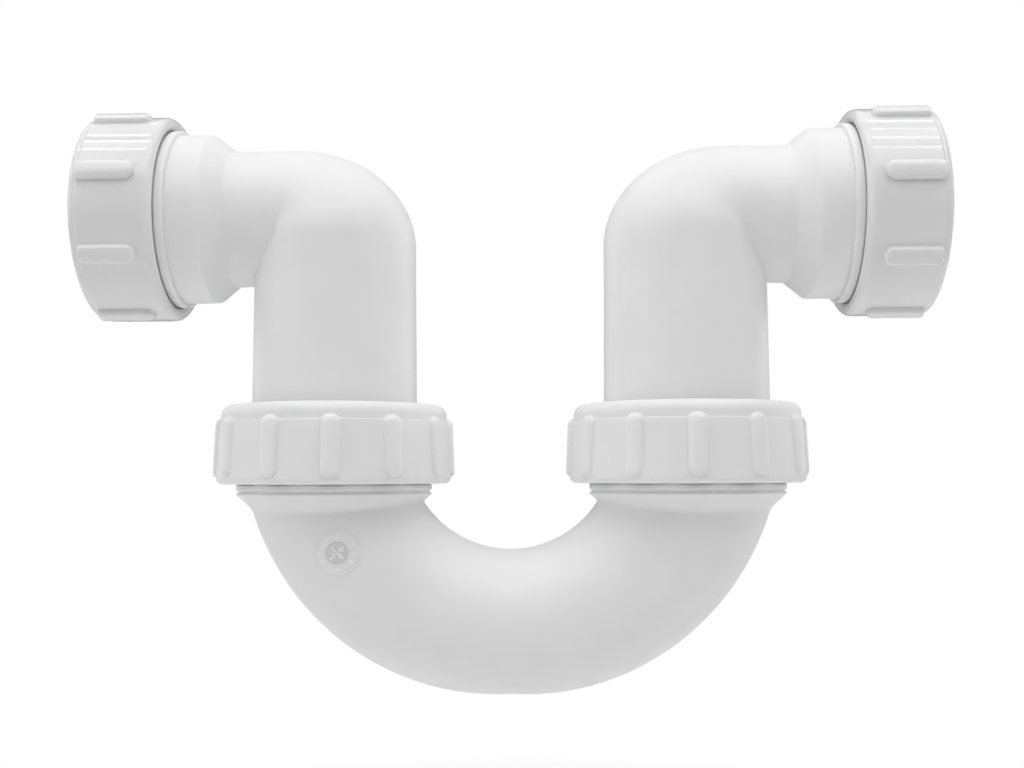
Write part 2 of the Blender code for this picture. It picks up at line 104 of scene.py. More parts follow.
# Collar of the bend, with heights from the bend's centre. Its cone has merged into the tube at the foot.
COLLAR_FOOT = -0.0217
COLLAR_ROWS = 48
CREST_HEIGHT = -0.0127
CREST_OVER_THREAD = 0.0006
CREST_LAND = 0.0002
CREST_BEVEL = 0.0003
CONE_SLOPE = 1.1
CONE_BLEND = 0.0009
GROOVE_UNDER_THREAD = 0.0001
GROOVE_WIDTH = 0.0010
GROOVE_ROUND = 0.0002
LAST_RING_HEIGHT = BEND_MOUTH_RISE - 0.0125
LAST_RING_BEVEL = 0.0006
RELIEF_END = 0.0020
COLLAR_THREAD_START = 0.0025
RING_ROUND = 0.00015
COLLAR_MOUTH_ROUND = 0.0002
# How near and how far from the leg's axis the bend's surface is looked for.
LIMB_NEAR = 0.012
LIMB_FAR = 0.040

# Threads: the male root lies this far under the joint's thread radius.
PITCH = 0.002309
THREAD_DEPTH = 0.0011
THREAD_ROOT_DEPTH = 0.00065
# Steepness of the flanks, length of the fade at each end in pitches, and rows of points for each pitch.
THREAD_FLANK = 0.85
THREAD_FADE = 0.6
THREAD_ROWS = 14
THREAD_SEGMENTS = 192
# Plain lead-in at a male mouth, and plain stretch between a thread and the wall or collar behind it.
THREAD_LEAD = 0.0008
THREAD_END = 0.0004
MOUTH_BEVEL = 0.0003

# Nuts: fineness of the outline, the ledge under the shoulder, and the ribs' edges.
NUT_STEP = 0.0006
RIB_END_STEP = 0.00016
RIB_END_MARGIN = 0.0004
RIB_SIDE_MARGIN = 0.0008
RIB_COLUMNS = 30
COLUMNS_BETWEEN_RIBS = 10
RIB_FALL = 1.5
RIB_FILLET = 0.00035
RIB_BAND = 0.004
LEDGE_EDGE = 0.00006
LEDGE_EDGE_DEPTH = 0.00020
LEDGE_RISE = 0.00022
MOUTH_ROUND = 0.0005
HOLE_ROUND = 0.0004
END_WALL_ROUND = 0.0002
THROAT_STEP = 0.0001
FOOT_ARC_POINTS = 9
SHOULDER_ARC_POINTS = 12

# Seals and washers.
SEAL_RIM_HEIGHT = 0.0012
SEAL_ROUND = 0.0003
WASHER_ROUND = 0.0002
RING_SEGMENTS = 160

# Sizes of the two kinds of compression joint, with heights from the mouth of the male thread.
BEND_JOINT = {
    "tube": LEG_FOOT_RADIUS,
    "thread": LEG_FOOT_RADIUS + 0.0031,
    "seat": LEG_FOOT_RADIUS + 0.0020,
    "seat_depth": 0.0060,
    "seal_depth": 0.0030,
    "seal_rise": 0.0030,
    "seal_rim": LEG_FOOT_RADIUS + 0.0025,
    "washer": 0.0016,
    "end_wall": 0.0033,
    "foot": -0.0120,
    "skirt": LEG_FOOT_RADIUS + 0.0043,
    "skirt_depth": 0.0018,
    "chamfer": 0.0006,
    "chamfer_depth": 0.0009,
    "throat_cut": 0.0003,
    "body_foot": 0.0307,
    "body_top": 0.0298,
    "foot_round": 0.0016,
    "ledge": 0.0045,
    "ledge_step": 0.00022,
    "shoulder_round": 0.0026,
    "ribs": 12,
    "rib_width": 0.0047,
    "rib_height": 0.0012,
    "rib_power": 2.4,
    "rib_foot": -0.0102,
    "rib_top": 0.0050,
    "rib_end_power": 2.4,
    "rib_foot_round": 0.0018,
    "rib_top_round": 0.0024,
}
SOCKET_JOINT = {
    "tube": PIPE_RADIUS,
    "thread": PIPE_RADIUS + 0.00505,
    "seat": PIPE_RADIUS + 0.0035,
    "seat_depth": 0.0060,
    "seal_depth": 0.0040,
    "seal_rise": 0.0032,
    "seal_rim": PIPE_RADIUS + 0.0041,
    "washer": 0.0016,
    "end_wall": 0.0030,
    "foot": -0.0126,
    "skirt": PIPE_RADIUS + 0.0061,
    "skirt_depth": 0.0022,
    "chamfer": 0.0006,
    "chamfer_depth": 0.0006,
    "throat_cut": 0.00035,
    "body_foot": 0.0271,
    "body_top": 0.0271,
    "foot_round": 0.0021,
    "ledge": 0.0022,
    "ledge_step": 0.00020,
    "shoulder_round": 0.0016,
    "ribs": 8,
    "rib_width": 0.0047,
    "rib_height": 0.0017,
    "rib_power": 3.4,
    "rib_foot": -0.0085,
    "rib_top": 0.0062,
    "rib_end_power": 2.3,
    "rib_foot_round": 0.0024,
    "rib_top_round": 0.0007,
}
JOINTS = {"bend": BEND_JOINT, "socket": SOCKET_JOINT}

# Turn of each nut's first rib from the front, as in the frame, anticlockwise about its outward axis.
RIB_PHASES = {
    "inlet_bend": radians(7.6),
    "outlet_bend": radians(-0.9),
    "inlet_socket": radians(16),
    "outlet_socket": radians(-11),
}

# Date dial on the front of the bend: its place along and round the tube.
DIAL_TURN = radians(32.5)
DIAL_AROUND = radians(-83.3)
# Its ring, its sunk disc, and its edge, which fades into the tube.
DIAL_LIFT = 0.000012
DIAL_RADIUS = 0.0054
DIAL_RING_HEIGHT = 0.00017
DIAL_RING_HALF_WIDTH = 0.00018
DIAL_RECESS_RADIUS = 0.0030
DIAL_RECESS_DEPTH = 0.00045
DIAL_RECESS_SLOPE = 0.00010
DIAL_LIP_OUT = 0.00030
DIAL_LIP_HEIGHT = 0.00005
DIAL_LIP_HALF_WIDTH = 0.00022
DIAL_FADE_START = 0.0057
DIAL_EDGE = 0.0060
DIAL_EDGE_DEPTH = 0.00004
# Radius where the disc's piece ends and the ring's begins, and radius of the pinhole in the disc.
DIAL_SPLIT = DIAL_RECESS_RADIUS - 0.00012
DIAL_DISC_START = 0.00001
DIAL_SEGMENTS = 144
DIAL_RINGS = 48
DISC_RINGS = 16
# The bend's surface is looked for this far on both sides of the dial's flat plane.
DIAL_REACH = 0.004
# The tube is left open under this share of the dial's radius.
DIAL_OPENING = 0.85
# Numerals: months on a circle, and one digit on each side of the arrow.
MONTH_CIRCLE = 0.0042
MONTH_SIZE = 0.0017
DIGIT_SIZE = 0.0024
DIGIT_TURN = radians(-40)
DIGIT_FLOOR = -0.00040
DIGITS = (("2", (-0.0012, -0.0010)), ("6", (0.0012, 0.0010)))
NUMERAL_HEIGHT = 0.00014
NUMERAL_BEVEL = 0.00003
ARROW_TURN = radians(-41)
ARROW_TAIL = -0.0021
ARROW_NECK = 0.0009
ARROW_TIP = 0.0023
ARROW_SHAFT = 0.00016
ARROW_BARB = 0.00060
ARROW_HEIGHTS = (-0.00050, -0.00024)

# Colours of the plastics and of the rubber.
WHITE = (0.86, 0.86, 0.86)
GLOSSY_WHITE = (0.81, 0.81, 0.81)
DIAL_WHITE = (0.85, 0.85, 0.85)
# The sunk disc is the same plastic as the bend; its darker grey is painted shade of the recess.
DISC_PAINTED_SHADE_GREY = (0.73, 0.73, 0.73)
NUMERAL_WHITE = (0.94, 0.94, 0.94)
WASHER_WHITE = (0.80, 0.81, 0.82)
RUBBER_BLACK = (0.020, 0.020, 0.021)
RUBBER_GREY = (0.045, 0.045, 0.046)
# How far the clouding changes a plastic's colour and gloss, and how deep light goes into it.
CLOUD_DARK = 0.975
CLOUD_LIGHT = 1.015
GLOSS_LOW = 0.88
GLOSS_HIGH = 1.14
LIGHT_DEPTH = 0.0018
# Heights of the waves and the grain on the mouldings, and of the grain on the rubber.
WAVE_HEIGHT = 0.00010
GRAIN_HEIGHT = 0.00006
RUBBER_GRAIN_HEIGHT = 0.00005
# Line of the mould: half width of its crest and of its foot, and its height.
SPLIT_CREST = 0.00006
SPLIT_FOOT = 0.00022
SPLIT_HEIGHT = 0.00010

# Camera of the photograph: place, turn in degrees, lens in millimetres and shift of the lens.
CAMERA_PLACE = (0.010424, -0.328466, -0.068787)
CAMERA_TURN = (93.7206, 0.2014, 1.8223)
CAMERA_LENS = 43.663
CAMERA_SHIFT = (0.001835, 0.009803)
SENSOR_WIDTH = 36.0

# Strength of the even light from all round, and the floor below the trap.
WORLD_LEVEL = 0.164
FLOOR_HEIGHT = -0.235
FLOOR_HALF = 3.0
# From the trap outwards the floor turns from its own grey to the white of the background.
FLOOR_GREY_TO = 0.18
FLOOR_WHITE_FROM = 0.42

# Area lamps: name, place, point they face, size and strength in watts.
LAMPS = (
    ("left_panel", (-0.9, -0.35, 0.25), (0.0, 0.0, -0.05), (0.7, 0.7), 1.75),
    ("right_panel", (0.9, -0.35, 0.25), (0.0, 0.0, -0.05), (0.7, 0.7), 1.11),
    ("over_front", (0.0, -0.50, 0.66), (0.0, 0.0, -0.05), (1.2, 0.40), 3.27),
    ("over_middle", (0.0, -0.15, 0.66), (0.0, 0.0, -0.05), (1.2, 0.25), 1.72),
    ("over_back", (0.0, 0.32, 0.66), (0.0, 0.32, 0.0), (1.2, 0.60), 1.55),
    ("left_back", (-0.8, 0.5, 0.2), (0.0, 0.0, -0.05), (0.7, 0.7), 1.83),
    ("right_back", (0.8, 0.5, 0.2), (0.0, 0.0, -0.05), (0.7, 0.7), 2.27),
    ("table_front", (0.0, -0.28, -0.225), (0.0, 0.0, -0.05), (0.5, 0.16), 0.125),
)

# Short lamp tubes overhead that make the streaks on the glossy nuts: their places along X and Y.
TUBES = (
    (-0.31, (-0.19, -0.05, 0.07, 0.40)),
    (0.28, (-0.32, -0.15, 0.0, 0.175)),
)
TUBE_HEIGHT = 0.62
TUBE_TURN = radians(-11)
TUBE_SIZE = (0.24, 0.024)
TUBE_WATTS = 0.085


class Skin:
    """Patches of faces that together make one mesh."""

    def __init__(self):
        self.points = []
        self.faces = []

    def grid(self, rows):
        """Add closed rows of points. Rows that climb Z, each anticlockwise round it, face outward."""
        rows = np.asarray(rows, float)
        count, width = rows.shape[:2]
        left = np.arange(count * width).reshape(count, width)
        right = np.roll(left, -1, axis=1)
        quads = np.stack([left[:-1], right[:-1], right[1:], left[1:]], axis=-1)
        self.add(rows.reshape(-1, 3), quads.reshape(-1, 4).tolist())

    def add(self, points, faces):
        """Add points and the faces between them."""
        base = len(self.points)
        self.points.extend(np.asarray(points).tolist())
        self.faces.extend([[i + base for i in face] for face in faces])

    def revolve(self, profile, segments):
        """Turn a profile of (r, z) points about Z."""
        angles = np.linspace(0, 2 * pi, segments, endpoint=False)
        profile = np.asarray(profile, float)
        self.grid(around(profile[:, 0:1], profile[:, 1:2], angles[None, :]))

    def transform(self, matrix):
        """Move every point by a matrix."""
        points = np.asarray(self.points)
        matrix = np.asarray(matrix)
        self.points = (points @ matrix[:3, :3].T + matrix[:3, 3]).tolist()

    def merge(self, other):
        """Take over another skin's patches."""
        self.add(other.points, other.faces)

    def mesh(self, name, weld=2e-6, sharp=34):
        """Weld the patches and return a smooth mesh."""
        mesh = bpy.data.meshes.new(name)
        mesh.from_pydata(self.points, [], self.faces)
        bm = bmesh.new()
        bm.from_mesh(mesh)
        bmesh.ops.remove_doubles(bm, verts=bm.verts, dist=weld)
        bmesh.ops.dissolve_degenerate(bm, edges=bm.edges, dist=weld)
        bm.to_mesh(mesh)
        bm.free()
        mesh.shade_smooth()
        mesh.set_sharp_from_angle(angle=radians(sharp))
        return mesh


def around(radius, height, angles):
    """Points at a radius and height round the Z axis."""
    radius, height, angles = np.broadcast_arrays(radius, height, angles)
    return np.stack([radius * np.cos(angles), radius * np.sin(angles), height], axis=-1)


def soften(profile, radius, steps=4):
    """Round the corners of an open profile."""
    points = [np.asarray(p, float) for p in profile]
    result = [points[0]]
    for before, corner, after in zip(points, points[1:], points[2:]):
        back = before - corner
        ahead = after - corner
        cut = min(radius, 0.45 * np.hypot(*back), 0.45 * np.hypot(*ahead))
        start = corner + back / np.hypot(*back) * cut
        end = corner + ahead / np.hypot(*ahead) * cut
        for t in np.linspace(0, 1, steps + 1):
            result.append((1 - t) ** 2 * start + 2 * t * (1 - t) * corner + t * t * end)
    result.append(points[-1])
    return result


def densify(profile, coarse, fine=None, zones=()):
    """Divide the long stretches of a profile, finely in zones of height."""
    points = [np.asarray(p, float) for p in profile]
    result = [points[0]]
    for a, b in zip(points, points[1:]):
        low, high = sorted((a[1], b[1]))
        step = fine if any(low < end and high > start for start, end in zones) else coarse
        parts = max(1, int(np.ceil(np.hypot(*(b - a)) / step)))
        for i in range(1, parts + 1):
            result.append(a + (b - a) * i / parts)
    return result


def arc(centre, radius, start, end, count):
    """Points of a round stretch of a profile."""
    turns = np.linspace(start, end, count)
    return [(centre[0] + radius * cos(t), centre[1] + radius * sin(t)) for t in turns]


def bisect(low, high, steps, is_short):
    """Halve the span between two arrays towards the places where a test turns false."""
    for _ in range(steps):
        middle = (low + high) / 2
        short = is_short(middle)
        low = np.where(short, middle, low)
        high = np.where(short, high, middle)
    return low


def smooth_max(a, b, width):
    """The larger of two values, with a fillet where they cross."""
    return np.maximum(a, b) + np.maximum(width - np.abs(a - b), 0) ** 2 / (4 * width)


def smooth_step(low, high, value):
    """Rise softly from 0 at a low value to 1 at a high one."""
    t = np.clip((value - low) / (high - low), 0, 1)
    return t * t * (3 - 2 * t)


def thread_rows(root, low, high, segments):
    """Rows of a right-hand thread that stands on a root cylinder, from low to high."""
    count = int(round((high - low) / PITCH * THREAD_ROWS))
    z = np.linspace(low, high, count + 1)[:, None]
    angles = np.linspace(0, 2 * pi, segments, endpoint=False)[None, :]
    wave = smooth_step(0, 1, 0.5 + THREAD_FLANK * np.cos(2 * pi * (z / PITCH) - angles))
    reach = PITCH * THREAD_FADE
    fade = smooth_step(low, low + reach, z) * (1 - smooth_step(high - reach, high, z))
    return around(root + THREAD_DEPTH * wave * fade, z, angles)


def male_root(joint):
    """Root radius of the male thread."""
    return joint["thread"] - THREAD_ROOT_DEPTH


def nut_crest(joint):
    """Smallest radius of the nut's thread, clear of the male thread's root."""
    return male_root(joint) + GAP


def bore(joint):
    """Radius of the hole that the tube stands in."""
    return joint["tube"] + GAP


def male_end(joint):
    """Profile of a male end, from the top of its thread over its mouth and down the seal's seat."""
    root = male_root(joint)
    return [
        (root, -THREAD_LEAD),
        (root - MOUTH_BEVEL, 0),
        (joint["seat"], 0),
        (bore(joint), -joint["seat_depth"]),
    ]


def nut_heights(joint):
    """Heights of the washer's foot, the end wall's foot and the nut's outer end."""
    washer_foot = joint["seal_rise"] + GAP
    wall_foot = washer_foot + joint["washer"] + GAP
    return washer_foot, wall_foot, wall_foot + joint["end_wall"]


def rib_columns(joint):
    """Angles round the nut, close together over the flanks of each rib."""
    spacing = 2 * pi / joint["ribs"]
    reach = (joint["rib_width"] / 2 + RIB_SIDE_MARGIN) / joint["body_foot"]
    near = np.linspace(-reach, reach, RIB_COLUMNS, endpoint=False)
    far = np.linspace(reach, spacing - reach, COLUMNS_BETWEEN_RIBS, endpoint=False)
    period = np.concatenate([near, far])
    return np.concatenate([period + k * spacing for k in range(joint["ribs"])])


def nut_outline(joint):
    """Outer profile of a nut without its ribs, from the skirt's throat up to the end hole."""
    top = nut_heights(joint)[2]
    foot = joint["foot"]
    ledge = top - joint["ledge"]
    shoulder = joint["body_top"] - joint["ledge_step"]
    hole = bore(joint) + GAP
    corner = joint["foot_round"]
    outline = soften([
        (joint["skirt"] - joint["throat_cut"], foot + joint["chamfer_depth"]),
        (joint["skirt"] + joint["chamfer"], foot),
        (joint["body_foot"] - corner, foot),
    ], MOUTH_ROUND)
    outline += arc((joint["body_foot"] - corner, foot + corner), corner, -pi / 2, 0, FOOT_ARC_POINTS)
    outline += [
        (joint["body_top"], ledge - LEDGE_EDGE_DEPTH),
        (joint["body_top"] - LEDGE_EDGE, ledge),
        (shoulder, ledge + LEDGE_RISE),
    ]
    corner = joint["shoulder_round"]
    outline += arc((shoulder - corner, top - corner), corner, 0, pi / 2, SHOULDER_ARC_POINTS)
    outline += [
        (hole + HOLE_ROUND, top),
        (hole + HOLE_ROUND / 4, top - HOLE_ROUND / 4),
        (hole, top - HOLE_ROUND),
    ]
    zones = (
        (joint["rib_foot"] - RIB_END_MARGIN, joint["rib_foot"] + joint["rib_foot_round"]),
        (joint["rib_top"] - joint["rib_top_round"], joint["rib_top"] + RIB_END_MARGIN),
    )
    return np.asarray(densify(densify(outline, NUT_STEP), NUT_STEP, RIB_END_STEP, zones))


def rib_lift(joint, angles, z):
    """Height of the ribs' surface over the nut's body, below zero away from a rib."""
    spacing = 2 * pi / joint["ribs"]
    half = joint["rib_width"] / 2
    across = np.abs((angles + spacing / 2) % spacing - spacing / 2) * joint["body_foot"]
    below = (joint["rib_foot"] + joint["rib_foot_round"] - z) / joint["rib_foot_round"]
    above = (z - joint["rib_top"] + joint["rib_top_round"]) / joint["rib_top_round"]
    along = np.maximum(np.maximum(below, above), 0)
    power = joint["rib_end_power"]
    ratio = ((across / half) ** power + along ** power) ** (1 / power)
    crown = (1 - np.clip(ratio, 0, 1) ** joint["rib_power"]) ** (1 / joint["rib_power"])
    return joint["rib_height"] * crown - np.maximum(ratio - 1, 0) * half * RIB_FALL


def nut_skin(joint, phase):
    """Ribbed nut, its ribs turned by a phase. Its thread is in step with a male end that isn't turned."""
    _, wall_foot, top = nut_heights(joint)
    foot = joint["foot"]
    outline = nut_outline(joint)
    angles = rib_columns(joint)[None, :]
    radius = outline[:, 0:1]
    z = outline[:, 1:2]
    share = np.clip((z - foot) / (top - foot), 0, 1)
    body = joint["body_foot"] + (joint["body_top"] - joint["body_foot"]) * share
    raised = smooth_max(radius, body + rib_lift(joint, angles, z), RIB_FILLET)
    on_side = radius > joint["body_top"] - RIB_BAND
    skin = Skin()
    skin.grid(around(np.where(on_side, raised, radius), z, angles + phase))
    hole = bore(joint) + GAP
    crest = nut_crest(joint)
    thread_low = foot + joint["skirt_depth"]
    thread_high = wall_foot - THREAD_END
    end_wall = [(hole, top - HOLE_ROUND), (hole, wall_foot), (crest, wall_foot), (crest, thread_high)]
    skin.revolve(soften(end_wall, END_WALL_ROUND), THREAD_SEGMENTS)
    skin.grid(thread_rows(crest, thread_low, thread_high, THREAD_SEGMENTS)[::-1])
    throat = joint["skirt"] - joint["throat_cut"]
    skin.revolve([
        (crest, thread_low),
        (throat, thread_low - THROAT_STEP),
        (throat, foot + joint["chamfer_depth"]),
    ], THREAD_SEGMENTS)
    return skin


def seal_skin(joint):
    """Rubber taper seal with soft edges."""
    slope = (joint["seat"] - bore(joint)) / joint["seat_depth"]
    rim_foot = joint["seat"] - GAP * sqrt(1 + slope * slope)
    toe = rim_foot - slope * joint["seal_depth"]
    middle = joint["seal_rise"] / 2
    profile = [
        (bore(joint), middle), (bore(joint), -joint["seal_depth"]), (toe, -joint["seal_depth"]),
        (rim_foot, 0), (joint["seal_rim"], SEAL_RIM_HEIGHT), (joint["seal_rim"], joint["seal_rise"]),
        (bore(joint), joint["seal_rise"]), (bore(joint), middle),
    ]
    skin = Skin()
    skin.revolve(soften(profile, SEAL_ROUND), RING_SEGMENTS)
    return skin


def washer_skin(joint):
    """Slip washer with soft edges."""
    foot = nut_heights(joint)[0]
    top = foot + joint["washer"]
    inner = bore(joint) + GAP
    outer = joint["thread"] - GAP / 2
    middle = (foot + top) / 2
    profile = [(inner, middle), (inner, foot), (outer, foot), (outer, top), (inner, top), (inner, middle)]
    skin = Skin()
    skin.revolve(soften(profile, WASHER_ROUND), RING_SEGMENTS)
    return skin


class ElbowRings:
    """Rings of the elbow's outer surface, or of its bore where an inset is given."""

    def __init__(self, inset):
        self.leg = LEG_TOP_RADIUS - inset
        self.arm = ARM_RADIUS - inset
        self.crease_end = CREASE_SHARE * self.arm
        leg_end = pi - asin(self.crease_end / self.leg)
        arm_end = pi - asin(self.crease_end / self.arm)
        half = HEEL_STEPS // 2
        self.heel = np.arange(-half, half + 1) / half
        throat = arm_end + (2 * pi - 2 * arm_end) * np.arange(1, THROAT_STEPS) / THROAT_STEPS
        self.arm_angles = np.concatenate([arm_end * self.heel, throat])
        throat_leg = pi - np.arcsin(self.arm * np.sin(throat) / self.leg)
        self.leg_angles = np.concatenate([leg_end * self.heel, throat_leg])

    def leg_ring(self, z, radius):
        """A level ring round the leg."""
        t = self.leg_angles
        return np.stack([-radius * np.cos(t), radius * np.sin(t), np.full_like(t, z)], axis=-1)

    def arm_ring(self, x, radius):
        """An upright ring round the arm."""
        t = self.arm_angles
        return np.stack([np.full_like(t, x), radius * np.sin(t), radius * np.cos(t)], axis=-1)

    def knuckle_ring(self, turn):
        """A ring round the knuckle: swept lines at the heel, the shared crease at the throat."""
        count = len(self.heel)
        leg_angle = self.leg_angles[:count]
        arm_angle = self.arm_angles[:count]
        share = self.heel ** 2
        end_out = sqrt(self.leg ** 2 - self.crease_end ** 2)
        end_down = sqrt(self.arm ** 2 - self.crease_end ** 2)
        out = HEEL_PIVOT_OUT + (end_out - HEEL_PIVOT_OUT) * share
        down = HEEL_PIVOT_DOWN + (end_down - HEEL_PIVOT_DOWN) * share
        reach = (out + self.leg * np.cos(leg_angle)) * cos(turn)
        rise = (down + self.arm * np.cos(arm_angle)) * sin(turn)
        blend = sin(turn) ** 2
        side = self.leg * np.sin(leg_angle) * (1 - blend) + self.arm * np.sin(arm_angle) * blend
        heel = np.stack([out - reach, side, rise - down], axis=-1)
        throat_side = self.arm * np.sin(self.arm_angles[count:])
        throat_x = np.sqrt(self.leg ** 2 - throat_side ** 2)
        throat_z = self.arm * np.cos(self.arm_angles[count:])
        throat = np.stack([throat_x, throat_side, throat_z], axis=-1)
        return np.concatenate([heel, throat])


def leg_foot():
    """Height of the leg's foot from the arm's axis, below zero."""
    return -BEND_DROP + BEND_MOUTH_RISE - LEG_SOCKET_DEPTH + GAP


def leg_radius(z):
    """Outer radius of the leg, which narrows from its foot to the knuckle."""
    share = min(1.0, (z - leg_foot()) / (-ARM_RADIUS - leg_foot()))
    return LEG_FOOT_RADIUS + (LEG_TOP_RADIUS - LEG_FOOT_RADIUS) * share


def elbow_mesh():
    """Elbow with its leg on Z and its arm along +X."""
    outside = ElbowRings(0.0)
    inside = ElbowRings(WALL)
    joint = SOCKET_JOINT
    socket = joint["thread"] - GAP / 2 - SOCKET_RELIEF
    collar = SOCKET_MOUTH - STOP_COLLAR_FROM_MOUTH
    foot = leg_foot()
    rings = [
        outside.leg_ring(foot, LEG_FOOT_RADIUS - WALL + LEG_RIM),
        outside.leg_ring(foot, LEG_FOOT_RADIUS - LEG_RIM),
        outside.leg_ring(foot + LEG_RIM, LEG_FOOT_RADIUS),
    ]
    for z in np.linspace(foot + 2 * LEG_RIM, -ARM_RADIUS - CREASE_CLEARANCE, LEG_ROWS):
        rings.append(outside.leg_ring(z, leg_radius(z)))
    for turn in np.linspace(0, pi / 2, KNUCKLE_STEPS):
        rings.append(outside.knuckle_ring(turn))
    arm = [
        (LEG_TOP_RADIUS + CREASE_CLEARANCE, ARM_RADIUS),
        (CONE_START, ARM_END_RADIUS),
        (CONE_START + CONE_LENGTH, socket),
        (collar + ARM_END_GAP, socket),
    ]
    for x, radius in soften(arm, CONE_ROUND, CONE_ROUND_STEPS):
        rings.append(outside.arm_ring(x, radius))
    skin = Skin()
    skin.grid(rings[::-1])
    bore_radius = ARM_END_RADIUS - WALL
    rings = [
        inside.arm_ring(SOCKET_MOUTH - PIPE_STOP_DEPTH, bore_radius),
        inside.arm_ring(LEG_TOP_RADIUS - WALL + 2 * CREASE_CLEARANCE, bore_radius),
    ]
    for turn in np.linspace(pi / 2, 0, KNUCKLE_BORE_STEPS):
        rings.append(inside.knuckle_ring(turn))
    for z in (-ARM_RADIUS + WALL - CREASE_CLEARANCE, foot + LEG_RIM):
        rings.append(inside.leg_ring(z, leg_radius(z) - WALL))
    rings.append(inside.leg_ring(foot, LEG_FOOT_RADIUS - WALL + LEG_RIM))
    skin.grid(rings[::-1])
    skin.merge(socket_end_skin())
    return skin.mesh("elbow")


def socket_end_skin():
    """Threaded end of the pipe socket, from the stop collar to the mouth and back to the pipe stop."""
    joint = SOCKET_JOINT
    socket = joint["thread"] - GAP / 2 - SOCKET_RELIEF
    root = male_root(joint)
    back = -STOP_COLLAR_FROM_MOUTH
    front = back + STOP_COLLAR_WIDTH
    rim = socket + STOP_COLLAR_HEIGHT
    thread_start = front + THREAD_END
    collar = [(socket, back), (rim, back), (rim, front), (root, front), (root, thread_start)]
    skin = Skin()
    skin.revolve(soften(collar, STOP_COLLAR_ROUND), THREAD_SEGMENTS)
    skin.grid(thread_rows(root, thread_start, -THREAD_LEAD, THREAD_SEGMENTS))
    profile = male_end(joint) + [
        (bore(joint), -PIPE_STOP_DEPTH),
        (ARM_END_RADIUS - WALL, -PIPE_STOP_DEPTH),
    ]
    skin.revolve(soften(profile, SOCKET_ROUND), THREAD_SEGMENTS)
    skin.transform(joint_place((SOCKET_MOUTH, 0, 0), 1))
    return skin


def joint_place(mouth, side):
    """Matrix from a joint's own axis +Z to an arm's axis, +X or -X."""
    return Matrix.Translation(mouth) @ Matrix.Rotation(side * pi / 2, 4, "Y")


def tube_outer(turn):
    """Outer radius of the bend at a turn from its mouth."""
    share = np.clip(np.minimum(turn, pi - turn) / (pi / 2), 0, 1)
    return BEND_MOUTH_RADIUS + (BEND_BOTTOM_RADIUS - BEND_MOUTH_RADIUS) * share


def tube_point(turn, around_angle, inset=0.0):
    """Point of the bend's surface, from the bend's centre."""
    outer = tube_outer(turn)
    radius = outer - inset
    distance = THROAT_RADIUS + outer + radius * np.cos(around_angle)
    side = radius * np.sin(around_angle)
    return np.stack([-np.cos(turn) * distance, side, -np.sin(turn) * distance], axis=-1)


def in_tube(x, y, z):
    """Whether points from the bend's centre lie inside its outer surface."""
    outer = tube_outer(np.arctan2(-z, -x))
    return np.hypot(np.hypot(x, z) - THROAT_RADIUS - outer, y) < outer


def tube_start(height, around_angle, inset):
    """Turn at which each line of the bend's surface reaches a height below the centre."""
    def is_above(turn):
        return tube_point(turn, around_angle, inset)[..., 2] > height

    start = np.zeros_like(around_angle)
    return bisect(start, np.full_like(start, pi / 2), 40, is_above)


def tube_rows(height, inset, rows, columns):
    """Rows of the bend's surface between two level cuts at a height."""
    around_angle = np.linspace(0, 2 * pi, columns, endpoint=False)
    start = tube_start(height, around_angle, inset)
    share = np.linspace(0, 1, rows)[:, None]
    turn = start + (pi - 2 * start) * share
    return tube_point(turn, np.broadcast_to(around_angle, turn.shape), inset)


def tube_ring(height):
    """Points where the bend's surface crosses a level plane on the left."""
    around_angle = np.linspace(0, 2 * pi, TUBE_COLUMNS, endpoint=False)
    return tube_point(tube_start(height, around_angle, 0.0), around_angle)


def limb_reach(angles, z):
    """Distance from the left leg's axis out to the bend's surface, at an angle and height."""
    def is_inside(reach):
        return in_tube(-LEG_SPACING / 2 + reach * np.cos(angles), reach * np.sin(angles), z)

    near = np.full(np.broadcast_shapes(angles.shape, z.shape), LIMB_NEAR)
    return bisect(near, np.full_like(near, LIMB_FAR), 36, is_inside)


